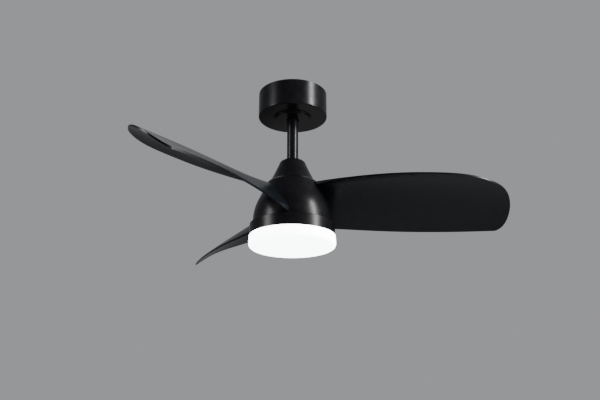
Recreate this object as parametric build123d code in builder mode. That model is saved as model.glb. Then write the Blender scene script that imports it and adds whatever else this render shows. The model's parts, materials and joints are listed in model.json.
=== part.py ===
"""Ceiling fan with a light: three swept blades, a dome-shaped hub and an opal light under it.

Millimetres, +Z up. The origin is on the ceiling plane, on the fan's axis, so the fan hangs in -Z.
"""

from build123d import *
from math import cos, exp, radians, sin, sqrt
import os

# ---------------------------------------------------------------- driving dimensions
BLADE_COUNT = 3
RUNNING_CLEARANCE = 0.05

# Mounting bracket and ball seat
BRACKET_LENGTH = 130.0
BRACKET_WIDTH = 44.0
BRACKET_SHEET = 2.5
BRACKET_LEG = 37.0
BRACKET_SEAT = -36.0
BRACKET_CUP_DEPTH = 9.0
BRACKET_ROD_SLOT = 30.0
BRACKET_SLOT_SPACING = 108.0
BRACKET_SLOT_LENGTH = 14.0
BRACKET_SLOT_WIDTH = 6.0
BRACKET_CABLE_HOLE = 14.0
EARTH_SCREW_RADIUS = 1.6
EARTH_SCREW_X = 24.0
EARTH_SCREW_Y = 14.0
BALL_CENTRE = -30.0
BALL_RADIUS = 23.0
BALL_CLEARANCE = 0.3
BALL_TOP = -14.5
BALL_BOTTOM = -50.0
BALL_BORE = 13.4
BALL_PIN_RADIUS = 3.0
BALL_PIN_LEVEL = -22.0
BALL_PIN_LENGTH = 34.0
BALL_KEY_WIDTH = 4.0
BALL_KEY_SLOT = 5.8

# Wiring in the canopy
TERMINAL_OFFSET = 52.0
TERMINAL_DEPTH = 20.0
TERMINAL_WIDTH = 34.0
TERMINAL_HEIGHT = 15.0
TERMINAL_PITCH = 10.0
TERMINAL_SCREW_RADIUS = 1.8
RECEIVER_OFFSET = 54.0
RECEIVER_DEPTH = 24.0
RECEIVER_WIDTH = 60.0
RECEIVER_HEIGHT = 24.0
LEAD_RADIUS = 2.5
LEAD_OFFSET = 6.5
LEAD_GAP = 0.3
SUPPLY_LEVEL = -9.0
SUPPLY_BEND = 8.0

# Canopy and the ring that covers its screws
CANOPY_RADIUS = 83.0
CANOPY_TOP = -1.0
CANOPY_BOTTOM = -63.5
CANOPY_WALL = 1.6
CANOPY_EDGE = 3.0
CANOPY_HOLE = 25.0
CANOPY_SCREW_OFFSET = 30.5
CANOPY_SCREW_RADIUS = 2.0
RING_RADIUS = 46.0
RING_STEP_RADIUS = 43.0
RING_STEP_HEIGHT = 2.4
RING_HOLE = 15.2

# Downrod, coupling and the cover over it
ROD_RADIUS = 13.35
ROD_BORE = 11.4
ROD_TOP = -13.0
ROD_BOTTOM = -212.5
COUPLING_BORE = 13.4
COUPLING_RADIUS = 19.0
COUPLING_TOP = -188.5
COUPLING_WEB = -213.5
COUPLING_BOTTOM = -228.5
COUPLING_FLANGE_RADIUS = 40.0
COUPLING_FLANGE_HEIGHT = 3.0
COUPLING_BOLT_RADIUS = 3.0
COUPLING_BOLT_LEVEL = -200.5
GRUB_SCREW_RADIUS = 2.5
GRUB_SCREW_LEVEL = -193.0
COVER_TOP = -178.0
COVER_BOTTOM = -231.8
COVER_WALL = 2.0
COVER_SHOULDER = 4.0
COVER_EDGE = 2.0
COVER_PROFILE = [(30.4, -182.4), (34.0, -191.2), (38.8, -202.0), (44.6, -214.5), (53.6, COVER_BOTTOM)]

# Motor shaft and bearings
SHAFT_RADIUS = 10.0
SHAFT_BORE = 6.5
SHAFT_TOP = -216.5
SHAFT_BOTTOM = -343.5
SHAFT_COLLAR_RADIUS = 12.0
SHAFT_COLLAR_HEIGHT = 7.0
CIRCLIP_DEPTH = 0.8
CIRCLIP_HEIGHT = 1.2
BEARING_RADIUS = 18.5
BEARING_WIDTH = 9.0
BEARING_INNER_RACE = 12.2
BEARING_OUTER_RACE = 16.3
BEARING_PITCH = 14.25
BEARING_BALL = 2.6
BEARING_BALLS = 10
UPPER_BEARING_TOP = -257.0
LOWER_BEARING_TOP = -308.0

# Stator
STATOR_TOP = -275.0
STATOR_HEIGHT = 20.0
STATOR_RADIUS = 55.0
STATOR_YOKE = 34.0
STATOR_BORE = 24.0
STATOR_TEETH = 12
TOOTH_WIDTH = 7.0
TOOTH_SHOE = 4.0
SLOT_GAP = 3.0
COIL_WIDTH = 14.0
COIL_INNER = 36.5
COIL_OUTER = 50.0
COIL_OVERHANG = 4.0
COIL_CLEARANCE = 0.4

# Rotor
AIR_GAP = 0.8
MAGNET_THICKNESS = 4.0
MAGNETS = 14
MAGNET_GAP = 1.5
BELL_TOP = -266.0
BELL_SHEET = 3.0
BELL_RADIUS = 63.0
BELL_FLANGE_RADIUS = 71.0
BEARING_BOSS = 22.5
BEARING_LIP = 16.5
CARRIER_TOP = -304.0
CARRIER_RADIUS = 84.5
CARRIER_SCREWS = 6
CARRIER_SCREW_CIRCLE = 67.0
SMALL_SCREW_RADIUS = 1.5
CARRIER_WINDOW_CIRCLE = 44.0
CARRIER_WINDOW_RADIUS = 8.0
CARRIER_WINDOWS = 6

# Hub shell
HUB_TOP = -232.6
HUB_BOTTOM = -334.9
HUB_WALL = 2.5
HUB_TOP_HOLE = 42.0
HUB_PROFILE = [(55.3, HUB_TOP), (62.6, -239.6), (79.0, -276.3), (91.2, HUB_BOTTOM)]
HUB_SHOULDER_SLOPE = -0.35
# Inner face of the dome, in straight steps, where the blades end
WING_ROOT = [
    (0.0, -235.0),
    (53.0, -235.5),
    (60.2, -241.0),
    (76.6, -277.6),
    (83.2, -294.5),
    (87.2, -311.5),
    (88.7, HUB_BOTTOM),
    (88.7, HUB_BOTTOM - 10.0),
    (0.0, HUB_BOTTOM - 10.0),
]
HUB_BOSS_CIRCLE = 75.0
HUB_BOSS_RADIUS = 3.5
HUB_BOSS_TOP = -277.0

# Blades, in the frame of one blade that points along +X
BLADE_ANGLES = [243.0, 3.0, 123.0]
BLADE_NEAR = 40.0
BLADE_FAR = 512.0
BLADE_STATIONS = 9
BLADE_THICKNESS = 3.4
BLADE_ROOT_THICKNESS = 3.0
BLADE_ROOT_REACH = 26.0
BLADE_OVERHANG = 0.05
LEADING_OFFSET = (-39.0, -130.0, -151.0, -108.0)
TRAILING_OFFSET = (30.0, 51.0, 63.0, 12.0)
LEADING_LEVEL = (-247.0, -246.0, -245.0, -267.0)
TRAILING_LEVEL = (-322.0, -335.0, -330.0, -332.0)
CAMBER = (22.0, 29.0, 17.0, 13.0)
TIP_OUTLINE = [
    (380.0, -128.5),
    (425.0, -117.0),
    (465.0, -94.5),
    (491.0, -65.0),
    (504.0, -28.0),
    (500.0, 4.0),
]
TIP_CORNER = (481.0, 22.5)
TIP_CORNER_RADIUS = 8.0
FOOT_INNER = 71.5
FOOT_OUTER = 86.0
FOOT_WIDTH = 38.0
FOOT_CENTRE = 10.0
FOOT_HEIGHT = 6.0
BLADE_SCREW_X = 77.0
BLADE_SCREW_PITCH = 12.0

# Light
LIGHT_RADIUS = 98.5
LIGHT_TOP = -335.5
LIGHT_BOTTOM = -362.5
LIGHT_WALL = 2.2
LIGHT_EDGE = 1.2
LIGHT_PLATE_RADIUS = 58.0
LIGHT_PLATE_SHEET = 3.0
LIGHT_SCREW_CIRCLE = 45.0
LIGHT_BOSS_CIRCLE = 76.0
LIGHT_BOSS_RADIUS = 4.5
NUT_RADIUS = 15.0
NUT_HEIGHT = 5.0
DRIVER_LENGTH = 64.0
DRIVER_NEAR = 20.0
DRIVER_FAR = 50.0
DRIVER_HEIGHT = 17.0
TRAY_RADIUS = 88.5
TRAY_TOP = -357.5
TRAY_SHEET = 1.5
BOARD_RADIUS = 83.0
BOARD_SHEET = 1.6
LED_RINGS = [(25.0, 8), (45.0, 16), (65.0, 24)]
LED_SIZE = 3.2
LED_HEIGHT = 0.8
DIFFUSER_TOP_RADIUS = 99.3
DIFFUSER_RADIUS = 100.2
DIFFUSER_BOTTOM = -389.5
DIFFUSER_EDGE = 8.0
DIFFUSER_WALL = 2.0
SPIGOT_RADIUS = 93.6
SPIGOT_TOP = -351.5
LUGS = 3
LUG_WIDTH = 18.0
LUG_HEIGHT = 2.4
LUG_CLEARANCE = 0.5

os.makedirs("parts", exist_ok=True)


# ---------------------------------------------------------------- shared helpers
def disc(level, outer, inner=0.0):
    """Flat disc or ring at a level, as a sketch."""
    with BuildSketch(Plane.XY.offset(level)) as face:
        Circle(outer)
        if inner > 0:
            Circle(inner, mode=Mode.SUBTRACT)
    return face.sketch


def block(level, x_low, x_high, y_low, y_high):
    """Rectangle at a level, from its limits in X and Y, as a sketch."""
    with BuildSketch(Plane.XY.offset(level)) as face:
        with Locations(((x_low + x_high) / 2, (y_low + y_high) / 2)):
            Rectangle(x_high - x_low, y_high - y_low)
    return face.sketch


def dots(level, radius, places):
    """Equal circles at a level, as a sketch."""
    with BuildSketch(Plane.XY.offset(level)) as face:
        with Locations(*[(x, y) for x, y, z in places]):
            Circle(radius)
    return face.sketch


def half_section(points, rounds=()):
    """Closed outline of (radius, height) points, with some corners rounded, to be turned about Z."""
    with BuildSketch(Plane.XZ) as face:
        with BuildLine():
            Polyline(*points, close=True)
        make_face()
        for corner, radius in rounds:
            fillet(face.vertices().sort_by_distance((corner[0], corner[1], 0))[0], radius)
    return face.sketch


def around(radius, count, first_angle=0.0):
    """Points spread evenly on a circle about Z."""
    places = []
    for index in range(count):
        angle = radians(first_angle + 360 * index / count)
        places.append((radius * cos(angle), radius * sin(angle), 0))
    return places


def screw_set(places, seat, head_radius, head_height, shank_radius, shank_length):
    """Identical upright screws, head down, with a cross recess, as one group of solids."""
    with BuildPart() as one:
        revolve(half_section([
            (0, seat - head_height),
            (head_radius * 0.7, seat - head_height),
            (head_radius, seat - head_height * 0.5),
            (head_radius, seat),
            (shank_radius, seat),
            (shank_radius, seat + shank_length),
            (0, seat + shank_length),
        ]), axis=Axis.Z)
        with BuildSketch(Plane.XY.offset(seat - head_height)):
            Rectangle(head_radius, head_radius * 0.22)
            Rectangle(head_radius * 0.22, head_radius)
        extrude(amount=head_height * 0.55, mode=Mode.SUBTRACT)
    with BuildPart() as group:
        with Locations(*places):
            add(one.part)
    return group


# ---------------------------------------------------------------- mounting bracket
cup_radius = BALL_RADIUS + BALL_CLEARANCE
cup_middle = BRACKET_SEAT - BRACKET_CUP_DEPTH / 2
leg_offset = BRACKET_LEG - BRACKET_SHEET / 2
canopy_screw_places = [(CANOPY_SCREW_OFFSET, 0, 0), (-CANOPY_SCREW_OFFSET, 0, 0)]
earth_place = (EARTH_SCREW_X, EARTH_SCREW_Y, 0)
with BuildPart() as mounting_bracket:
    with Locations((0, 0, -BRACKET_SHEET / 2)):
        Box(BRACKET_LENGTH, BRACKET_WIDTH, BRACKET_SHEET)
    with Locations((0, 0, BRACKET_SEAT - BRACKET_SHEET / 2)):
        Box(2 * BRACKET_LEG, BRACKET_WIDTH, BRACKET_SHEET)
    with Locations((leg_offset, 0, BRACKET_SEAT / 2), (-leg_offset, 0, BRACKET_SEAT / 2)):
        Box(BRACKET_SHEET, BRACKET_WIDTH, -BRACKET_SEAT)
    with BuildSketch(Plane.XZ):
        with Locations((0, BALL_CENTRE)):
            Circle(cup_radius + BRACKET_SHEET)
        with Locations((BALL_RADIUS, cup_middle)):
            Rectangle(2 * BALL_RADIUS, BRACKET_CUP_DEPTH, mode=Mode.INTERSECT)
    revolve(axis=Axis.Z)
    with Locations((0, 0, BALL_CENTRE)):
        Sphere(cup_radius, mode=Mode.SUBTRACT)
    with Locations((0, BRACKET_WIDTH / 2, cup_middle)):
        Box(BRACKET_ROD_SLOT, BRACKET_WIDTH, 2 * BRACKET_CUP_DEPTH, mode=Mode.SUBTRACT)
    with Locations((0, -cup_radius + 2.0, cup_middle + 0.5)):
        Box(BALL_KEY_WIDTH, 5.0, 6.0)
    with BuildSketch(Plane.XY):
        with Locations((BRACKET_SLOT_SPACING / 2, 0), (-BRACKET_SLOT_SPACING / 2, 0)):
            SlotOverall(BRACKET_SLOT_LENGTH, BRACKET_SLOT_WIDTH)
    extrude(amount=-BRACKET_SHEET, mode=Mode.SUBTRACT)
    extrude(disc(0, BRACKET_CABLE_HOLE), amount=-BRACKET_SHEET, mode=Mode.SUBTRACT)
    extrude(dots(0, EARTH_SCREW_RADIUS, [earth_place]), amount=-BRACKET_SHEET, mode=Mode.SUBTRACT)
    canopy_screw_holes = dots(BRACKET_SEAT, CANOPY_SCREW_RADIUS, canopy_screw_places)
    extrude(canopy_screw_holes, amount=-BRACKET_SHEET, mode=Mode.SUBTRACT)
    with BuildSketch(Plane.YZ.offset(BRACKET_LEG)):
        with Locations((LEAD_OFFSET, SUPPLY_LEVEL)):
            Circle(LEAD_RADIUS + 1.5)
    extrude(amount=-BRACKET_SHEET, mode=Mode.SUBTRACT)
mounting_bracket.part.label = "mounting_bracket"
export_step(mounting_bracket.part, "parts/mounting_bracket.step")

earth_screw = screw_set([earth_place], -BRACKET_SHEET, 3.6, 2.4, EARTH_SCREW_RADIUS, 2.0)
earth_screw.part.label = "earth_screw"
export_step(earth_screw.part, "parts/earth_screw.step")

# ---------------------------------------------------------------- wiring in the canopy
terminal_face = TERMINAL_OFFSET - TERMINAL_DEPTH / 2
terminal_places = []
for column in (-TERMINAL_DEPTH / 4, TERMINAL_DEPTH / 4):
    for row in (-TERMINAL_PITCH, 0, TERMINAL_PITCH):
        terminal_places.append((TERMINAL_OFFSET + column, row, 0))
with BuildPart() as terminal_block:
    with BuildSketch(Plane.XY.offset(-BRACKET_SHEET)):
        with Locations((TERMINAL_OFFSET, 0)):
            RectangleRounded(TERMINAL_DEPTH, TERMINAL_WIDTH, 2)
    extrude(amount=-TERMINAL_HEIGHT)
    well_floor = -BRACKET_SHEET - TERMINAL_HEIGHT
    extrude(dots(well_floor, TERMINAL_SCREW_RADIUS + 0.4, terminal_places), amount=6, mode=Mode.SUBTRACT)
    extrude(dots(well_floor, 1.2, terminal_places), amount=9, mode=Mode.SUBTRACT)
terminal_block.part.label = "terminal_block"
export_step(terminal_block.part, "parts/terminal_block.step")

terminal_screws = screw_set(terminal_places, well_floor + 6, TERMINAL_SCREW_RADIUS, 1.6, 1.2, 3.0)
terminal_screws.part.label = "terminal_screws"
export_step(terminal_screws.part, "parts/terminal_screws.step")

with BuildPart() as receiver_box:
    with BuildSketch(Plane.XY.offset(-BRACKET_SHEET)):
        with Locations((-RECEIVER_OFFSET, 0)):
            RectangleRounded(RECEIVER_DEPTH, RECEIVER_WIDTH, 3)
    extrude(amount=-RECEIVER_HEIGHT)
    chamfer(receiver_box.faces().sort_by(Axis.Z)[0].edges(), 1.5)
receiver_box.part.label = "receiver_box"
export_step(receiver_box.part, "parts/receiver_box.step")

# The supply lead goes over the rod's mouth and down to the height of the ball's centre, where the
# hanging lead takes over, because nothing moves there when the rod swings.
with BuildPart() as supply_lead:
    with BuildLine():
        FilletPolyline(
            (terminal_face, LEAD_OFFSET, SUPPLY_LEVEL),
            (0, LEAD_OFFSET, SUPPLY_LEVEL),
            (0, LEAD_OFFSET, BALL_CENTRE + LEAD_GAP / 2),
            radius=SUPPLY_BEND,
        )
    with BuildSketch(Plane.YZ.offset(terminal_face)):
        with Locations((LEAD_OFFSET, SUPPLY_LEVEL)):
            Circle(LEAD_RADIUS)
    sweep()
supply_lead.part.label = "supply_lead"
export_step(supply_lead.part, "parts/supply_lead.step")

# ---------------------------------------------------------------- canopy
canopy_inner = CANOPY_RADIUS - CANOPY_WALL
canopy_floor = CANOPY_BOTTOM + CANOPY_WALL
with BuildPart() as canopy:
    revolve(half_section(
        [
            (CANOPY_HOLE, CANOPY_BOTTOM),
            (CANOPY_RADIUS, CANOPY_BOTTOM),
            (CANOPY_RADIUS, CANOPY_TOP),
            (canopy_inner, CANOPY_TOP),
            (canopy_inner, canopy_floor),
            (CANOPY_HOLE, canopy_floor),
        ],
        rounds=[
            ((CANOPY_RADIUS, CANOPY_BOTTOM), CANOPY_EDGE),
            ((canopy_inner, canopy_floor), CANOPY_EDGE - CANOPY_WALL),
        ],
    ), axis=Axis.Z)
    canopy_holes = dots(CANOPY_BOTTOM, CANOPY_SCREW_RADIUS, canopy_screw_places)
    extrude(canopy_holes, amount=CANOPY_WALL, mode=Mode.SUBTRACT)
canopy.part.label = "canopy"
export_step(canopy.part, "parts/canopy.step")

canopy_screw_length = BRACKET_SEAT - CANOPY_BOTTOM + 1.0
canopy_screws = screw_set(
    canopy_screw_places, CANOPY_BOTTOM, 3.6, 2.0, CANOPY_SCREW_RADIUS, canopy_screw_length
)
canopy_screws.part.label = "canopy_screws"
export_step(canopy_screws.part, "parts/canopy_screws.step")

ring_step = CANOPY_BOTTOM - RING_STEP_HEIGHT
ring_floor = ring_step - RING_STEP_HEIGHT
ring_spigot = CANOPY_HOLE - 0.2
with BuildPart() as canopy_ring:
    revolve(half_section(
        [
            (RING_RADIUS, CANOPY_BOTTOM),
            (RING_RADIUS, ring_step),
            (RING_STEP_RADIUS, ring_step),
            (RING_STEP_RADIUS, ring_floor),
            (RING_HOLE, ring_floor),
            (RING_HOLE, ring_floor + 1.8),
            (ring_spigot - 2.4, ring_floor + 1.8),
            (ring_spigot - 2.4, canopy_floor + 2.0),
            (ring_spigot, canopy_floor + 2.0),
            (ring_spigot, ring_floor + 1.8),
            (RING_STEP_RADIUS - 1.8, ring_floor + 1.8),
            (RING_STEP_RADIUS - 1.8, CANOPY_BOTTOM),
        ],
        rounds=[
            ((RING_RADIUS, ring_step), 1.2),
            ((RING_STEP_RADIUS, ring_floor), 1.2),
            ((RING_HOLE, ring_floor), 0.8),
        ],
    ), axis=Axis.Z)
canopy_ring.part.label = "canopy_ring"
export_step(canopy_ring.part, "parts/canopy_ring.step")

# ---------------------------------------------------------------- hanger ball and downrod
with BuildPart() as hanger_ball:
    with Locations((0, 0, BALL_CENTRE)):
        Sphere(BALL_RADIUS)
    ball_height = BALL_TOP - BALL_BOTTOM
    extrude(disc(BALL_BOTTOM, BALL_RADIUS + 1), amount=ball_height, mode=Mode.INTERSECT)
    extrude(disc(BALL_BOTTOM, BALL_BORE), amount=ball_height, mode=Mode.SUBTRACT)
    with Locations((0, -BALL_RADIUS + 2.0, BALL_BOTTOM + 11)):
        Box(BALL_KEY_SLOT, 8.0, 22.0, mode=Mode.SUBTRACT)
    with BuildSketch(Plane.YZ.offset(-BALL_RADIUS)):
        with Locations((0, BALL_PIN_LEVEL)):
            Circle(BALL_PIN_RADIUS)
    extrude(amount=2 * BALL_RADIUS, mode=Mode.SUBTRACT)
hanger_ball.part.label = "hanger_ball"
export_step(hanger_ball.part, "parts/hanger_ball.step")

with BuildPart() as ball_pin:
    with BuildSketch(Plane.YZ.offset(-BALL_PIN_LENGTH / 2)):
        with Locations((0, BALL_PIN_LEVEL)):
            Circle(BALL_PIN_RADIUS)
    extrude(amount=BALL_PIN_LENGTH)
    chamfer(ball_pin.edges().filter_by(GeomType.CIRCLE), 0.5)
ball_pin.part.label = "ball_pin"
export_step(ball_pin.part, "parts/ball_pin.step")

with BuildPart() as downrod:
    extrude(disc(ROD_BOTTOM, ROD_RADIUS, ROD_BORE), amount=ROD_TOP - ROD_BOTTOM)
    for level, radius in ((BALL_PIN_LEVEL, BALL_PIN_RADIUS), (COUPLING_BOLT_LEVEL, COUPLING_BOLT_RADIUS)):
        with BuildSketch(Plane.YZ.offset(-ROD_RADIUS)):
            with Locations((0, level)):
                Circle(radius)
        extrude(amount=2 * ROD_RADIUS, mode=Mode.SUBTRACT)
downrod.part.label = "downrod"
export_step(downrod.part, "parts/downrod.step")

# ---------------------------------------------------------------- coupling between rod and motor shaft
flange_top = COUPLING_BOTTOM + COUPLING_FLANGE_HEIGHT
with BuildPart() as coupling:
    revolve(half_section(
        [
            (COUPLING_BORE, COUPLING_TOP),
            (COUPLING_RADIUS, COUPLING_TOP),
            (COUPLING_RADIUS, flange_top),
            (COUPLING_FLANGE_RADIUS, flange_top),
            (COUPLING_FLANGE_RADIUS, COUPLING_BOTTOM),
            (SHAFT_RADIUS, COUPLING_BOTTOM),
            (SHAFT_RADIUS, COUPLING_WEB),
            (COUPLING_BORE, COUPLING_WEB),
        ],
        rounds=[((COUPLING_RADIUS, COUPLING_TOP), 1.0), ((COUPLING_RADIUS, flange_top), 2.0)],
    ), axis=Axis.Z)
    with BuildSketch(Plane.YZ.offset(-COUPLING_RADIUS)):
        with Locations((0, COUPLING_BOLT_LEVEL)):
            Circle(COUPLING_BOLT_RADIUS)
    extrude(amount=2 * COUPLING_RADIUS, mode=Mode.SUBTRACT)
    with BuildSketch(Plane.XZ.offset(-COUPLING_RADIUS)):
        with Locations((0, GRUB_SCREW_LEVEL)):
            Circle(GRUB_SCREW_RADIUS)
    extrude(amount=2 * COUPLING_RADIUS, mode=Mode.SUBTRACT)
coupling.part.label = "coupling"
export_step(coupling.part, "parts/coupling.step")

with BuildPart() as coupling_bolt:
    with BuildSketch(Plane.YZ.offset(COUPLING_RADIUS)):
        with Locations((0, COUPLING_BOLT_LEVEL)):
            RegularPolygon(5.5, 6)
    extrude(amount=3.5)
    with BuildSketch(Plane.YZ.offset(COUPLING_RADIUS)):
        with Locations((0, COUPLING_BOLT_LEVEL)):
            Circle(COUPLING_BOLT_RADIUS)
    extrude(amount=-2 * COUPLING_RADIUS - 6.5)
coupling_bolt.part.label = "coupling_bolt"
export_step(coupling_bolt.part, "parts/coupling_bolt.step")

with BuildPart() as coupling_nut:
    with BuildSketch(Plane.YZ.offset(-COUPLING_RADIUS)):
        with Locations((0, COUPLING_BOLT_LEVEL)):
            RegularPolygon(5.5, 6)
            Circle(COUPLING_BOLT_RADIUS, mode=Mode.SUBTRACT)
    extrude(amount=-4.5)
coupling_nut.part.label = "coupling_nut"
export_step(coupling_nut.part, "parts/coupling_nut.step")

with BuildPart() as coupling_grub_screws:
    for side in (-1, 1):
        with BuildSketch(Plane.XZ.offset(side * ROD_RADIUS)):
            with Locations((0, GRUB_SCREW_LEVEL)):
                Circle(GRUB_SCREW_RADIUS)
        extrude(amount=side * 7.0)
        with BuildSketch(Plane.XZ.offset(side * (ROD_RADIUS + 7.0))):
            with Locations((0, GRUB_SCREW_LEVEL)):
                RegularPolygon(1.4, 6)
        extrude(amount=-side * 3.0, mode=Mode.SUBTRACT)
coupling_grub_screws.part.label = "coupling_grub_screws"
export_step(coupling_grub_screws.part, "parts/coupling_grub_screws.step")


def cover_section(inset):
    """Area under the cover's outline, moved inwards and down by an inset."""
    outline = [(radius - inset, height) for radius, height in COVER_PROFILE]
    with BuildSketch(Plane.XZ) as face:
        with BuildLine():
            shoulder = (outline[0][0] - COVER_SHOULDER, COVER_TOP - inset)
            Polyline((0, COVER_BOTTOM), (0, COVER_TOP - inset), shoulder, outline[0])
            Spline(*outline)
            Line(outline[-1], (0, COVER_BOTTOM))
        make_face()
        if inset == 0:
            fillet(face.vertices().sort_by_distance((shoulder[0], COVER_TOP, 0))[0], COVER_EDGE)
    return face.sketch


with BuildPart() as coupling_cover:
    revolve(cover_section(0), axis=Axis.Z)
    revolve(cover_section(COVER_WALL), axis=Axis.Z, mode=Mode.SUBTRACT)
    extrude(disc(COVER_TOP, ROD_RADIUS + 0.3), amount=-2 * COVER_WALL, mode=Mode.SUBTRACT)
coupling_cover.part.label = "coupling_cover"
export_step(coupling_cover.part, "parts/coupling_cover.step")

# ---------------------------------------------------------------- motor shaft and bearings
circlip_top = LOWER_BEARING_TOP - BEARING_WIDTH
with BuildPart() as motor_shaft:
    extrude(disc(SHAFT_BOTTOM, SHAFT_RADIUS, SHAFT_BORE), amount=SHAFT_TOP - SHAFT_BOTTOM)
    extrude(disc(UPPER_BEARING_TOP, SHAFT_COLLAR_RADIUS, SHAFT_BORE), amount=SHAFT_COLLAR_HEIGHT)
    groove_floor = SHAFT_RADIUS - CIRCLIP_DEPTH
    extrude(disc(circlip_top, SHAFT_RADIUS + 1, groove_floor), amount=-CIRCLIP_HEIGHT, mode=Mode.SUBTRACT)
motor_shaft.part.label = "motor_shaft"
export_step(motor_shaft.part, "parts/motor_shaft.step")

with BuildPart() as shaft_circlip:
    extrude(disc(circlip_top, SHAFT_COLLAR_RADIUS + 1, groove_floor), amount=-CIRCLIP_HEIGHT)
    extrude(block(circlip_top, -2, 2, 0, 20), amount=-CIRCLIP_HEIGHT, mode=Mode.SUBTRACT)
shaft_circlip.part.label = "shaft_circlip"
export_step(shaft_circlip.part, "parts/shaft_circlip.step")

for bearing, bearing_top in (("upper", UPPER_BEARING_TOP), ("lower", LOWER_BEARING_TOP)):
    ball_level = bearing_top - BEARING_WIDTH / 2
    with BuildPart() as inner_race:
        extrude(disc(bearing_top, BEARING_INNER_RACE, SHAFT_RADIUS), amount=-BEARING_WIDTH)
        with Locations((0, 0, ball_level)):
            Torus(BEARING_PITCH, BEARING_BALL + RUNNING_CLEARANCE, mode=Mode.SUBTRACT)
    inner_race.part.label = f"{bearing}_bearing_inner_race"
    export_step(inner_race.part, f"parts/{bearing}_bearing_inner_race.step")

    with BuildPart() as outer_race:
        extrude(disc(bearing_top, BEARING_RADIUS, BEARING_OUTER_RACE), amount=-BEARING_WIDTH)
        with Locations((0, 0, ball_level)):
            Torus(BEARING_PITCH, BEARING_BALL + RUNNING_CLEARANCE, mode=Mode.SUBTRACT)
    outer_race.part.label = f"{bearing}_bearing_outer_race"
    export_step(outer_race.part, f"parts/{bearing}_bearing_outer_race.step")

    with BuildPart() as balls:
        with Locations((0, 0, ball_level)):
            with PolarLocations(BEARING_PITCH, BEARING_BALLS):
                Sphere(BEARING_BALL)
    balls.part.label = f"{bearing}_bearing_balls"
    export_step(balls.part, f"parts/{bearing}_bearing_balls.step")

# ---------------------------------------------------------------- stator
stator_bottom = STATOR_TOP - STATOR_HEIGHT
upper_race_bottom = UPPER_BEARING_TOP - BEARING_WIDTH
with BuildPart() as stator_spool:
    revolve(half_section([
        (SHAFT_RADIUS, upper_race_bottom),
        (SHAFT_COLLAR_RADIUS, upper_race_bottom),
        (SHAFT_COLLAR_RADIUS, STATOR_TOP - 6),
        (STATOR_BORE - 3, STATOR_TOP - 6),
        (STATOR_BORE - 3, STATOR_TOP),
        (STATOR_BORE, STATOR_TOP),
        (STATOR_BORE, stator_bottom),
        (STATOR_BORE - 3, stator_bottom),
        (STATOR_BORE - 3, stator_bottom + 6),
        (SHAFT_COLLAR_RADIUS, stator_bottom + 6),
        (SHAFT_COLLAR_RADIUS, LOWER_BEARING_TOP),
        (SHAFT_RADIUS, LOWER_BEARING_TOP),
    ]), axis=Axis.Z)
stator_spool.part.label = "stator_spool"
export_step(stator_spool.part, "parts/stator_spool.step")

with BuildPart() as stator_core:
    with BuildSketch(Plane.XY.offset(stator_bottom)):
        Circle(STATOR_RADIUS)
        Circle(STATOR_RADIUS - TOOTH_SHOE, mode=Mode.SUBTRACT)
        with PolarLocations(STATOR_RADIUS - TOOTH_SHOE / 2, STATOR_TEETH, start_angle=180 / STATOR_TEETH):
            Rectangle(2 * TOOTH_SHOE, SLOT_GAP, mode=Mode.SUBTRACT)
        with PolarLocations((STATOR_YOKE + STATOR_RADIUS) / 2 - TOOTH_SHOE / 2, STATOR_TEETH):
            Rectangle(STATOR_RADIUS - STATOR_YOKE, TOOTH_WIDTH)
        Circle(STATOR_YOKE)
        Circle(STATOR_BORE, mode=Mode.SUBTRACT)
    extrude(amount=STATOR_HEIGHT)
stator_core.part.label = "stator_core"
export_step(stator_core.part, "parts/stator_core.step")

with BuildPart() as stator_windings:
    coil_middle = (COIL_INNER + COIL_OUTER) / 2
    with BuildSketch(Plane.XY.offset(stator_bottom - COIL_OVERHANG)):
        with PolarLocations(coil_middle, STATOR_TEETH):
            RectangleRounded(COIL_OUTER - COIL_INNER, COIL_WIDTH, 2)
    extrude(amount=STATOR_HEIGHT + 2 * COIL_OVERHANG)
    with BuildSketch(Plane.XY.offset(stator_bottom - COIL_CLEARANCE)):
        with PolarLocations(coil_middle, STATOR_TEETH):
            Rectangle(COIL_OUTER, TOOTH_WIDTH + 2 * COIL_CLEARANCE)
    extrude(amount=STATOR_HEIGHT + 2 * COIL_CLEARANCE, mode=Mode.SUBTRACT)
stator_windings.part.label = "stator_windings"
export_step(stator_windings.part, "parts/stator_windings.step")

# ---------------------------------------------------------------- rotor
magnet_inner = STATOR_RADIUS + AIR_GAP
magnet_outer = magnet_inner + MAGNET_THICKNESS
with BuildPart() as magnets:
    with BuildSketch(Plane.XY.offset(stator_bottom - 2)):
        Circle(magnet_outer)
        Circle(magnet_inner, mode=Mode.SUBTRACT)
        with PolarLocations(magnet_inner + MAGNET_THICKNESS / 2, MAGNETS):
            Rectangle(2 * MAGNET_THICKNESS, MAGNET_GAP, mode=Mode.SUBTRACT)
    extrude(amount=STATOR_HEIGHT + 4)
magnets.part.label = "magnets"
export_step(magnets.part, "parts/magnets.step")

bell_screw_places = around(CARRIER_SCREW_CIRCLE, CARRIER_SCREWS, 30)
with BuildPart() as rotor_bell:
    revolve(half_section([
        (BEARING_LIP, UPPER_BEARING_TOP + 2),
        (BEARING_BOSS, UPPER_BEARING_TOP + 2),
        (BEARING_BOSS, BELL_TOP),
        (BELL_RADIUS - 4, BELL_TOP),
        (BELL_RADIUS, BELL_TOP - 4),
        (BELL_RADIUS, CARRIER_TOP + BELL_SHEET),
        (BELL_FLANGE_RADIUS, CARRIER_TOP + BELL_SHEET),
        (BELL_FLANGE_RADIUS, CARRIER_TOP),
        (magnet_outer, CARRIER_TOP),
        (magnet_outer, BELL_TOP - BELL_SHEET),
        (BEARING_RADIUS, BELL_TOP - BELL_SHEET),
        (BEARING_RADIUS, UPPER_BEARING_TOP),
        (BEARING_LIP, UPPER_BEARING_TOP),
    ]), axis=Axis.Z)
    extrude(dots(CARRIER_TOP, SMALL_SCREW_RADIUS, bell_screw_places), amount=BELL_SHEET, mode=Mode.SUBTRACT)
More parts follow.
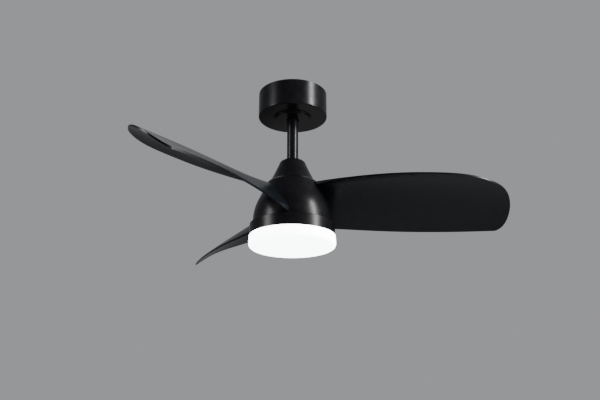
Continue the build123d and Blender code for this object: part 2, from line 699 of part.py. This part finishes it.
rotor_bell.part.label = "rotor_bell"
export_step(rotor_bell.part, "parts/rotor_bell.step")

carrier_bottom = CARRIER_TOP - BELL_SHEET
hub_screw_places = around(HUB_BOSS_CIRCLE, BLADE_COUNT, BLADE_ANGLES[1] + 60)
blade_screw_places = []
for blade_angle in BLADE_ANGLES:
    turn = radians(blade_angle)
    for step in (-1, 0, 1):
        along, across = BLADE_SCREW_X, FOOT_CENTRE + step * BLADE_SCREW_PITCH
        blade_screw_places.append((
            along * cos(turn) - across * sin(turn),
            along * sin(turn) + across * cos(turn),
            0,
        ))
with BuildPart() as blade_carrier:
    revolve(half_section([
        (BEARING_RADIUS, CARRIER_TOP),
        (CARRIER_RADIUS, CARRIER_TOP),
        (CARRIER_RADIUS, carrier_bottom),
        (BEARING_BOSS, carrier_bottom),
        (BEARING_BOSS, LOWER_BEARING_TOP - BEARING_WIDTH - 2),
        (BEARING_LIP, LOWER_BEARING_TOP - BEARING_WIDTH - 2),
        (BEARING_LIP, LOWER_BEARING_TOP - BEARING_WIDTH),
        (BEARING_RADIUS, LOWER_BEARING_TOP - BEARING_WIDTH),
    ]), axis=Axis.Z)
    small_holes = bell_screw_places + hub_screw_places
    extrude(dots(carrier_bottom, SMALL_SCREW_RADIUS, small_holes), amount=BELL_SHEET, mode=Mode.SUBTRACT)
    extrude(dots(carrier_bottom, 2.0, blade_screw_places), amount=BELL_SHEET, mode=Mode.SUBTRACT)
    window_places = around(CARRIER_WINDOW_CIRCLE, CARRIER_WINDOWS)
    extrude(dots(carrier_bottom, CARRIER_WINDOW_RADIUS, window_places), amount=BELL_SHEET, mode=Mode.SUBTRACT)
blade_carrier.part.label = "blade_carrier"
export_step(blade_carrier.part, "parts/blade_carrier.step")

carrier_screws = screw_set(bell_screw_places, carrier_bottom, 3.0, 2.0, SMALL_SCREW_RADIUS, 6.0)
carrier_screws.part.label = "carrier_screws"
export_step(carrier_screws.part, "parts/carrier_screws.step")

hub_screws = screw_set(hub_screw_places, carrier_bottom, 3.0, 2.0, SMALL_SCREW_RADIUS, 12.0)
hub_screws.part.label = "hub_screws"
export_step(hub_screws.part, "parts/hub_screws.step")

blade_screws = screw_set(blade_screw_places, carrier_bottom, 4.0, 2.6, 2.0, 8.0)
blade_screws.part.label = "blade_screws"
export_step(blade_screws.part, "parts/blade_screws.step")


def hub_section(inset):
    """Area under the dome's outline of three smooth arcs, moved inwards by a wall thickness."""
    with BuildLine(mode=Mode.PRIVATE):
        shoulder = TangentArc(HUB_PROFILE[0], HUB_PROFILE[1], tangent=(1, HUB_SHOULDER_SLOPE))
        flank = TangentArc(HUB_PROFILE[1], HUB_PROFILE[2], tangent=shoulder % 1)
        skirt = TangentArc(HUB_PROFILE[2], HUB_PROFILE[3], tangent=flank % 1)
    ends = [(shoulder @ 0, shoulder % 0)]
    for arc in (shoulder, flank, skirt):
        ends.append((arc @ 1, arc % 1))
    moved = [(spot.X + inset * way.Y, spot.Y - inset * way.X) for spot, way in ends]
    with BuildSketch(Plane.XZ) as face:
        with BuildLine():
            Polyline((0, HUB_BOTTOM - HUB_WALL), (0, moved[0][1]), moved[0])
            for index in range(3):
                TangentArc(moved[index], moved[index + 1], tangent=ends[index][1])
            Polyline(moved[3], (moved[3][0], HUB_BOTTOM - HUB_WALL), (0, HUB_BOTTOM - HUB_WALL))
        make_face()
    return face.sketch


# ---------------------------------------------------------------- blades
def along_blade(share, values):
    """Smooth value along the blade, from root (share 0) to tip (share 1), with two values to steer it."""
    root, near, far, tip = values
    rest = 1 - share
    return root * rest**3 + 3 * near * share * rest**2 + 3 * far * share**2 * rest + tip * share**3


def blade_point(x, across, side):
    """Point on the blade's skin: across runs from 0 at the leading edge to 1 at the trailing edge."""
    share = (x - BLADE_NEAR) / (BLADE_FAR - BLADE_NEAR)
    leading = along_blade(share, LEADING_OFFSET)
    trailing = along_blade(share, TRAILING_OFFSET)
    high = along_blade(share, LEADING_LEVEL)
    low = along_blade(share, TRAILING_LEVEL)
    camber = along_blade(share, CAMBER)
    level = high + across * (low - high) + 4 * camber * across * (1 - across)
    slope = (low - high + 4 * camber * (1 - 2 * across)) / (trailing - leading)
    thickness = BLADE_THICKNESS + BLADE_ROOT_THICKNESS * exp(-((x - BLADE_NEAR) / (3 * BLADE_ROOT_REACH)) ** 2)
    return (leading + across * (trailing - leading), level + side * thickness / 2 * sqrt(1 + slope**2))


with BuildPart() as wing:
    for index in range(BLADE_STATIONS):
        station = BLADE_NEAR + (BLADE_FAR - BLADE_NEAR) * index / (BLADE_STATIONS - 1)
        shares = [-BLADE_OVERHANG, 0.25, 0.5, 0.75, 1 + BLADE_OVERHANG]
        upper = [blade_point(station, share, 1) for share in shares]
        lower = [blade_point(station, share, -1) for share in shares]
        with BuildSketch(Plane.YZ.offset(station)):
            with BuildLine():
                Spline(*upper)
                Line(upper[-1], lower[-1])
                Spline(*lower)
                Line(lower[0], upper[0])
            make_face()
    loft()
    # The outline in plan trims the edges and rounds the tip.
    with BuildSketch(Plane.XY.offset(HUB_BOTTOM - 40)) as plan:
        with BuildLine():
            root_edge = [(x, blade_point(x, 0, 0)[0]) for x in (BLADE_NEAR, 130, 220, 310)]
            leading_edge = Spline(*root_edge, *TIP_OUTLINE, TIP_CORNER)
            trailing_edge = Spline(
                TIP_CORNER,
                (350, blade_point(350, 1, 0)[0]),
                (180, blade_point(180, 1, 0)[0]),
                (BLADE_NEAR, blade_point(BLADE_NEAR, 1, 0)[0]),
            )
            Line(trailing_edge @ 1, leading_edge @ 0)
        make_face()
        fillet(plan.vertices().sort_by_distance((TIP_CORNER[0], TIP_CORNER[1], 0))[0], TIP_CORNER_RADIUS)
    extrude(amount=HUB_TOP - HUB_BOTTOM + 80, mode=Mode.INTERSECT)
    # Inside the hub only the foot that the screws hold is left.
    revolve(half_section(WING_ROOT), axis=Axis.Z, mode=Mode.SUBTRACT)
    with BuildSketch(Plane.XY.offset(CARRIER_TOP)):
        with Locations(((FOOT_INNER + FOOT_OUTER) / 2, FOOT_CENTRE)):
            Rectangle(FOOT_OUTER - FOOT_INNER, FOOT_WIDTH)
        Circle(FOOT_OUTER, mode=Mode.INTERSECT)
    extrude(amount=FOOT_HEIGHT)
    foot_screw_places = [(BLADE_SCREW_X, FOOT_CENTRE + step * BLADE_SCREW_PITCH, 0) for step in (-1, 0, 1)]
    extrude(dots(CARRIER_TOP, 2.0, foot_screw_places), amount=5.0, mode=Mode.SUBTRACT)

wings = []
for number, blade_angle in enumerate(BLADE_ANGLES, start=1):
    with BuildPart() as blade:
        with Locations(Rotation(0, 0, blade_angle)):
            add(wing.part)
    blade.part.label = f"blade_{number}"
    export_step(blade.part, f"parts/blade_{number}.step")
    wings.append(blade.part)

# ---------------------------------------------------------------- hub shell
with BuildPart() as hub_shell:
    revolve(hub_section(0), axis=Axis.Z)
    revolve(hub_section(HUB_WALL), axis=Axis.Z, mode=Mode.SUBTRACT)
    extrude(disc(HUB_BOTTOM, LIGHT_RADIUS), amount=-2 * HUB_WALL, mode=Mode.SUBTRACT)
    boss_height = HUB_BOSS_TOP - CARRIER_TOP
    extrude(dots(CARRIER_TOP, HUB_BOSS_RADIUS, hub_screw_places), amount=boss_height)
    extrude(dots(CARRIER_TOP, SMALL_SCREW_RADIUS, hub_screw_places), amount=11.0, mode=Mode.SUBTRACT)
    extrude(disc(HUB_TOP, HUB_TOP_HOLE), amount=-2 * HUB_WALL, mode=Mode.SUBTRACT)
    for wing_part in wings:
        add(wing_part, mode=Mode.SUBTRACT)
hub_shell.part.label = "hub_shell"
export_step(hub_shell.part, "parts/hub_shell.step")

# ---------------------------------------------------------------- light
light_floor = LIGHT_TOP - LIGHT_WALL
light_screw_places = around(LIGHT_SCREW_CIRCLE, 3, 30)
boss_places = around(LIGHT_BOSS_CIRCLE, 3, 90)
with BuildPart() as light_plate:
    extrude(disc(LIGHT_TOP, LIGHT_PLATE_RADIUS, SHAFT_RADIUS), amount=LIGHT_PLATE_SHEET)
    extrude(dots(LIGHT_TOP, 2.0, light_screw_places), amount=LIGHT_PLATE_SHEET, mode=Mode.SUBTRACT)
light_plate.part.label = "light_plate"
export_step(light_plate.part, "parts/light_plate.step")

lug_inner = SPIGOT_RADIUS + LUG_CLEARANCE
light_inner = LIGHT_RADIUS - LIGHT_WALL
tab_bottom = SPIGOT_TOP - LUG_HEIGHT
lug_top = tab_bottom - LUG_CLEARANCE
with BuildPart() as light_ring:
    revolve(half_section(
        [
            (SHAFT_RADIUS, LIGHT_TOP),
            (LIGHT_RADIUS, LIGHT_TOP),
            (LIGHT_RADIUS, LIGHT_BOTTOM),
            (light_inner, LIGHT_BOTTOM),
            (light_inner, light_floor),
            (SHAFT_RADIUS, light_floor),
        ],
        rounds=[((LIGHT_RADIUS, LIGHT_TOP), LIGHT_EDGE)],
    ), axis=Axis.Z)
    extrude(dots(light_floor, LIGHT_BOSS_RADIUS, boss_places), amount=TRAY_TOP - light_floor)
    extrude(dots(TRAY_TOP, SMALL_SCREW_RADIUS, boss_places), amount=7.0, mode=Mode.SUBTRACT)
    extrude(dots(light_floor, 2.0, light_screw_places), amount=LIGHT_WALL, mode=Mode.SUBTRACT)
    with BuildSketch(Plane.XY.offset(lug_top)):
        with PolarLocations(LIGHT_RADIUS, LUGS):
            Rectangle(20, LUG_WIDTH)
        Circle(light_inner + 0.5, mode=Mode.INTERSECT)
        Circle(lug_inner, mode=Mode.SUBTRACT)
    extrude(amount=-LUG_HEIGHT)
light_ring.part.label = "light_ring"
export_step(light_ring.part, "parts/light_ring.step")

light_screws = screw_set(light_screw_places, light_floor, 4.0, 2.4, 2.0, 5.0)
light_screws.part.label = "light_screws"
export_step(light_screws.part, "parts/light_screws.step")

with BuildPart() as shaft_nut:
    with BuildSketch(Plane.XY.offset(light_floor)):
        RegularPolygon(NUT_RADIUS, 6)
        Circle(SHAFT_RADIUS, mode=Mode.SUBTRACT)
    extrude(amount=-NUT_HEIGHT)
shaft_nut.part.label = "shaft_nut"
export_step(shaft_nut.part, "parts/shaft_nut.step")

with BuildPart() as led_driver:
    half_length = DRIVER_LENGTH / 2
    extrude(block(light_floor, -half_length, half_length, DRIVER_NEAR, DRIVER_FAR), amount=-DRIVER_HEIGHT)
    fillet(led_driver.edges().filter_by(Axis.Z), 2.5)
led_driver.part.label = "led_driver"
export_step(led_driver.part, "parts/led_driver.step")

# The fan lead hangs from the ball's centre, moves inwards to pass the shaft's bore, and turns into
# the driver below the shaft nut.
shaft_lead_offset = 2.0
driver_entry = SHAFT_BOTTOM - SUPPLY_BEND + 0.5
with BuildPart() as fan_lead:
    with BuildLine():
        FilletPolyline(
            (0, LEAD_OFFSET, BALL_CENTRE - LEAD_GAP / 2),
            (0, LEAD_OFFSET, COUPLING_BOLT_LEVEL - 4),
            (0, shaft_lead_offset, SHAFT_TOP - 3),
            (0, shaft_lead_offset, driver_entry),
            (0, DRIVER_NEAR, driver_entry),
            radius=SUPPLY_BEND,
        )
    with BuildSketch(Plane.XY.offset(BALL_CENTRE - LEAD_GAP / 2)):
        with Locations((0, LEAD_OFFSET)):
            Circle(LEAD_RADIUS)
    sweep()
fan_lead.part.label = "fan_lead"
export_step(fan_lead.part, "parts/fan_lead.step")

board_top = TRAY_TOP - TRAY_SHEET
board_bottom = board_top - BOARD_SHEET
with BuildPart() as led_tray:
    extrude(disc(TRAY_TOP, TRAY_RADIUS), amount=-TRAY_SHEET)
    extrude(disc(TRAY_TOP, TRAY_RADIUS, TRAY_RADIUS - TRAY_SHEET), amount=-4 * TRAY_SHEET)
    extrude(dots(TRAY_TOP, SMALL_SCREW_RADIUS, boss_places), amount=-TRAY_SHEET, mode=Mode.SUBTRACT)
led_tray.part.label = "led_tray"
export_step(led_tray.part, "parts/led_tray.step")

with BuildPart() as led_board:
    extrude(disc(board_top, BOARD_RADIUS), amount=-BOARD_SHEET)
    extrude(dots(board_top, SMALL_SCREW_RADIUS, boss_places), amount=-BOARD_SHEET, mode=Mode.SUBTRACT)
led_board.part.label = "led_board"
export_step(led_board.part, "parts/led_board.step")

with BuildPart() as led_chips:
    for radius, count in LED_RINGS:
        with BuildSketch(Plane.XY.offset(board_bottom)):
            with PolarLocations(radius, count):
                Rectangle(LED_SIZE, LED_SIZE)
        extrude(amount=-LED_HEIGHT)
led_chips.part.label = "led_chips"
export_step(led_chips.part, "parts/led_chips.step")

board_screws = screw_set(boss_places, board_bottom, 3.0, 1.8, SMALL_SCREW_RADIUS, 9.0)
board_screws.part.label = "board_screws"
export_step(board_screws.part, "parts/board_screws.step")

# ---------------------------------------------------------------- diffuser
diffuser_top = LIGHT_BOTTOM - 0.3
with BuildPart() as diffuser:
    revolve(half_section(
        [
            (0, DIFFUSER_BOTTOM),
            (DIFFUSER_RADIUS, DIFFUSER_BOTTOM),
            (DIFFUSER_TOP_RADIUS, diffuser_top),
            (SPIGOT_RADIUS, diffuser_top),
            (SPIGOT_RADIUS, SPIGOT_TOP),
            (SPIGOT_RADIUS - DIFFUSER_WALL, SPIGOT_TOP),
            (SPIGOT_RADIUS - DIFFUSER_WALL, diffuser_top - DIFFUSER_WALL),
            (DIFFUSER_TOP_RADIUS - DIFFUSER_WALL, diffuser_top - DIFFUSER_WALL),
            (DIFFUSER_RADIUS - DIFFUSER_WALL, DIFFUSER_BOTTOM + DIFFUSER_WALL),
            (0, DIFFUSER_BOTTOM + DIFFUSER_WALL),
        ],
        rounds=[
            ((DIFFUSER_RADIUS, DIFFUSER_BOTTOM), DIFFUSER_EDGE),
            ((DIFFUSER_RADIUS - DIFFUSER_WALL, DIFFUSER_BOTTOM + DIFFUSER_WALL), DIFFUSER_EDGE - DIFFUSER_WALL),
            ((DIFFUSER_TOP_RADIUS, diffuser_top), 1.2),
        ],
    ), axis=Axis.Z)
    with BuildSketch(Plane.XY.offset(SPIGOT_TOP)):
        with PolarLocations(LIGHT_RADIUS, LUGS):
            Rectangle(20, LUG_WIDTH)
        Circle(light_inner - LUG_CLEARANCE, mode=Mode.INTERSECT)
        Circle(SPIGOT_RADIUS - DIFFUSER_WALL / 2, mode=Mode.SUBTRACT)
    extrude(amount=-LUG_HEIGHT)
diffuser.part.label = "diffuser"
export_step(diffuser.part, "parts/diffuser.step")
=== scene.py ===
"""Looks of a ceiling fan with a light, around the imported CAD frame. Metres, +Z up, ceiling at Z = 0."""

import json
import math

import bpy
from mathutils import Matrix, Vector


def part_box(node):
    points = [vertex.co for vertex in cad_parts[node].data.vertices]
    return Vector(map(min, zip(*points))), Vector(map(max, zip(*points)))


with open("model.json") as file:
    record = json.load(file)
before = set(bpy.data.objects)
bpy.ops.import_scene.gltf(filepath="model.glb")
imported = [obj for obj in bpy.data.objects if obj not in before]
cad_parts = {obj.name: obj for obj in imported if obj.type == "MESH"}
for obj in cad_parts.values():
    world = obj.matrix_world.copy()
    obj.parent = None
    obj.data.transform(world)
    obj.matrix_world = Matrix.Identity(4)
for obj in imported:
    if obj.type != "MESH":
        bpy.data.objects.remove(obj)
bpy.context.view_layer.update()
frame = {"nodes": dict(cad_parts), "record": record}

# ---------------------------------------------------------------- materials
# The part of a factor's range that a ramp is stretched over.
RAMP_START = 0.3
RAMP_END = 0.7

# Broad noise varies colour and gloss; fine noise, this much smaller, makes the relief.
BROAD_SCALE = 60.0
BROAD_DETAIL = 3.0
FINE_FACTOR = 14
FINE_DETAIL = 2.0
RELIEF_DEPTH = 0.0002
EVEN = (1.0, 1.0, 1.0)

OPAL_ROUGHNESS = 0.35
OPAL_STRENGTH = 9.0
OPAL_BRIGHT = (0.97, 1.0, 0.995)
OPAL_DIM = (0.88, 0.94, 0.93)
OPAL_DIM_BAND = 0.012

BLACK = dict(dark=(0.0015, 0.0015, 0.002), light=(0.0025, 0.0024, 0.003), specular=0.065)

SURFACES = {
    "black_metal": dict(BLACK, rough=(0.27, 0.31)),
    "black_plastic": dict(BLACK, rough=(0.28, 0.32)),
    "blade_plastic": dict(
        dark=(0.0010, 0.0014, 0.0020), light=(0.0016, 0.0021, 0.0029), rough=(0.27, 0.31), specular=0.055
    ),
    "zinc_steel": dict(
        dark=(0.52, 0.53, 0.54), light=(0.66, 0.67, 0.68), rough=(0.25, 0.4), metallic=1.0, bump=0.1
    ),
    "bearing_steel": dict(
        dark=(0.60, 0.60, 0.61), light=(0.70, 0.70, 0.71), rough=(0.12, 0.2), metallic=1.0
    ),
    "nylon": dict(dark=(0.62, 0.60, 0.54), light=(0.72, 0.70, 0.64), rough=(0.4, 0.5), bump=0.1),
    "white_plastic": dict(dark=(0.78, 0.78, 0.77), light=(0.86, 0.86, 0.85), rough=(0.35, 0.45), bump=0.1),
    "cable_sheath": dict(dark=(0.5, 0.5, 0.5), light=(0.6, 0.6, 0.6), rough=(0.45, 0.55), bump=0.15),
    # Near-black coupling: this dark colour also stands in as painted shade where the coupling shows through
    # the thin gap between the cover and the hub.
    "cast_metal": dict(
        dark=(0.012, 0.012, 0.013), light=(0.02, 0.02, 0.022), rough=(0.5, 0.6), bump=0.3, specular=0.3
    ),
    "laminated_steel": dict(
        dark=(0.20, 0.21, 0.23), light=(0.36, 0.37, 0.39), rough=(0.35, 0.5), metallic=1.0,
        scale=25, bump=0.3, stretch=(1, 1, 60),
    ),
    "copper_wire": dict(
        dark=(0.55, 0.22, 0.09), light=(0.75, 0.36, 0.18), rough=(0.25, 0.4), metallic=1.0,
        scale=30, bump=0.5, stretch=(1, 1, 40),
    ),
    "ferrite": dict(dark=(0.06, 0.06, 0.065), light=(0.10, 0.10, 0.11), rough=(0.5, 0.65), bump=0.2),
    "circuit_board": dict(dark=(0.75, 0.76, 0.74), light=(0.84, 0.85, 0.83), rough=(0.35, 0.5), scale=90),
    "led_phosphor": dict(dark=(0.86, 0.72, 0.22), light=(0.95, 0.85, 0.35), rough=(0.4, 0.5), scale=120),
}


def shaded(name):
    """New material with one principled shader; returns the material, its node tree and the shader."""
    material = bpy.data.materials.new(name)
    material.use_nodes = True
    tree = material.node_tree
    tree.nodes.clear()
    output = tree.nodes.new("ShaderNodeOutputMaterial")
    shader = tree.nodes.new("ShaderNodeBsdfPrincipled")
    tree.links.new(shader.outputs["BSDF"], output.inputs["Surface"])
    return material, tree, shader


def grain(tree, scale, detail, stretch):
    """Noise over the piece's own coordinates; returns its factor socket."""
    place = tree.nodes.new("ShaderNodeTexCoord")
    mapping = tree.nodes.new("ShaderNodeMapping")
    mapping.inputs["Scale"].default_value = stretch
    noise = tree.nodes.new("ShaderNodeTexNoise")
    noise.inputs["Scale"].default_value = scale
    noise.inputs["Detail"].default_value = detail
    tree.links.new(place.outputs["Object"], mapping.inputs["Vector"])
    tree.links.new(mapping.outputs["Vector"], noise.inputs["Vector"])
    return noise.outputs["Fac"]


def two_tone(tree, factor, dark, light):
    """Colour that runs from dark to light with a factor."""
    ramp = tree.nodes.new("ShaderNodeValToRGB")
    start, end = ramp.color_ramp.elements
    start.position, start.color = RAMP_START, (*dark, 1.0)
    end.position, end.color = RAMP_END, (*light, 1.0)
    tree.links.new(factor, ramp.inputs["Fac"])
    return ramp.outputs["Color"]


def remapped(tree, value, from_low, from_high, to_low=0.0, to_high=1.0):
    """Number that runs from to_low to to_high while a value runs from from_low to from_high."""
    remap = tree.nodes.new("ShaderNodeMapRange")
    remap.inputs["From Min"].default_value = from_low
    remap.inputs["From Max"].default_value = from_high
    remap.inputs["To Min"].default_value = to_low
    remap.inputs["To Max"].default_value = to_high
    tree.links.new(value, remap.inputs["Value"])
    return remap.outputs["Result"]


def surface(name, dark, light, rough, metallic=0.0, scale=BROAD_SCALE, bump=0.0, specular=0.5, stretch=EVEN):
    """Painted, moulded or metal surface with fine variation in colour and gloss."""
    material, tree, shader = shaded(name)
    shader.inputs["Metallic"].default_value = metallic
    shader.inputs["Specular IOR Level"].default_value = specular
    broad = grain(tree, scale, BROAD_DETAIL, stretch)
    tree.links.new(two_tone(tree, broad, dark, light), shader.inputs["Base Color"])
    tree.links.new(remapped(tree, broad, RAMP_START, RAMP_END, *rough), shader.inputs["Roughness"])
    if bump > 0:
        relief = tree.nodes.new("ShaderNodeBump")
        relief.inputs["Strength"].default_value = bump
        relief.inputs["Distance"].default_value = RELIEF_DEPTH
        tree.links.new(grain(tree, scale * FINE_FACTOR, FINE_DETAIL, stretch), relief.inputs["Height"])
        tree.links.new(relief.outputs["Normal"], shader.inputs["Normal"])
    return material


def glowing(name, bright, dim, strength, low, high):
    """Opal plastic lit from inside, a little dimmer at its lower edge."""
    material, tree, shader = shaded(name)
    shader.inputs["Roughness"].default_value = OPAL_ROUGHNESS
    place = tree.nodes.new("ShaderNodeTexCoord")
    axes = tree.nodes.new("ShaderNodeSeparateXYZ")
    tree.links.new(place.outputs["Object"], axes.inputs["Vector"])
    colour = two_tone(tree, remapped(tree, axes.outputs["Z"], low, high), dim, bright)
    tree.links.new(colour, shader.inputs["Base Color"])
    tree.links.new(colour, shader.inputs["Emission Color"])
    shader.inputs["Emission Strength"].default_value = strength
    return material


MATERIALS = {name: surface(name, **look) for name, look in SURFACES.items()}
diffuser_low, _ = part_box("diffuser")
MATERIALS["opal_plastic"] = glowing(
    "opal_plastic", OPAL_BRIGHT, OPAL_DIM, OPAL_STRENGTH, diffuser_low.z, diffuser_low.z + OPAL_DIM_BAND
)

slot_of = {row["node"]: row["material_slot"] for row in frame["record"]["subparts"]}
for node, piece in frame["nodes"].items():
    piece.data.materials.clear()
    piece.data.materials.append(MATERIALS[slot_of[node]])

# ---------------------------------------------------------------- floor and surroundings
FLOOR_SIZE = 300
FLOOR_LEVEL = -1.9
FLOOR_PAINT = dict(dark=(0.62, 0.62, 0.62), light=(0.68, 0.68, 0.68), rough=(0.8, 0.9), scale=3.0)
BACKGROUND = (0.33, 0.335, 0.345, 1.0)

bpy.ops.mesh.primitive_plane_add(size=FLOOR_SIZE, location=(0, 0, FLOOR_LEVEL))
floor = bpy.context.object
floor.name = "floor"
floor.data.materials.append(surface("floor_paint", **FLOOR_PAINT))

world = bpy.data.worlds.new("studio")
bpy.context.scene.world = world
world.use_nodes = True
world.node_tree.nodes["Background"].inputs["Color"].default_value = BACKGROUND
world.node_tree.nodes["Background"].inputs["Strength"].default_value = 1.0

# ---------------------------------------------------------------- lights
# Angles are in degrees: azimuth 0 is in front of the fan, 90 to its right, 180 behind it.
LIGHT_AIM = Vector((0.0, 0.0, -0.2))
LIGHTS = {
    "right_window": dict(azimuth=65, elevation=16, distance=2.6, wide=0.45, tall=2.0, watts=400),
    "left_window": dict(azimuth=-66, elevation=10, distance=2.8, wide=0.8, tall=1.6, watts=150),
    "overhead": dict(azimuth=180, elevation=62, distance=3.0, wide=3.0, tall=2.0, watts=18),
}


def soft_light(name, azimuth, elevation, distance, wide, tall, watts):
    """Rectangular area light that faces the fan."""
    turn, lift = math.radians(azimuth), math.radians(elevation)
    data = bpy.data.lights.new(name, "AREA")
    data.shape = "RECTANGLE"
    data.size = wide
    data.size_y = tall
    data.energy = watts
    light = bpy.data.objects.new(name, data)
    bpy.context.scene.collection.objects.link(light)
    away = Vector((math.sin(turn) * math.cos(lift), -math.cos(turn) * math.cos(lift), math.sin(lift)))
    light.location = LIGHT_AIM + away * distance
    light.rotation_euler = (-away).to_track_quat("-Z", "Y").to_euler()


for light_name, light_setting in LIGHTS.items():
    soft_light(light_name, **light_setting)

# ---------------------------------------------------------------- camera
# It stands below the fan and looks up at it; the tilt is in degrees above level.
CAMERA_PLACE = (0.0178, -1.4808, -0.7887)
CAMERA_TILT = 19.17
LENS = 40.242
SENSOR_WIDTH = 36.0

camera_data = bpy.data.cameras.new("camera")
camera_data.sensor_fit = "HORIZONTAL"
camera_data.sensor_width = SENSOR_WIDTH
camera_data.lens = LENS
camera = bpy.data.objects.new("camera", camera_data)
camera.location = CAMERA_PLACE
camera.rotation_euler = (math.radians(90 + CAMERA_TILT), 0, 0)
bpy.context.scene.collection.objects.link(camera)
bpy.context.scene.camera = camera
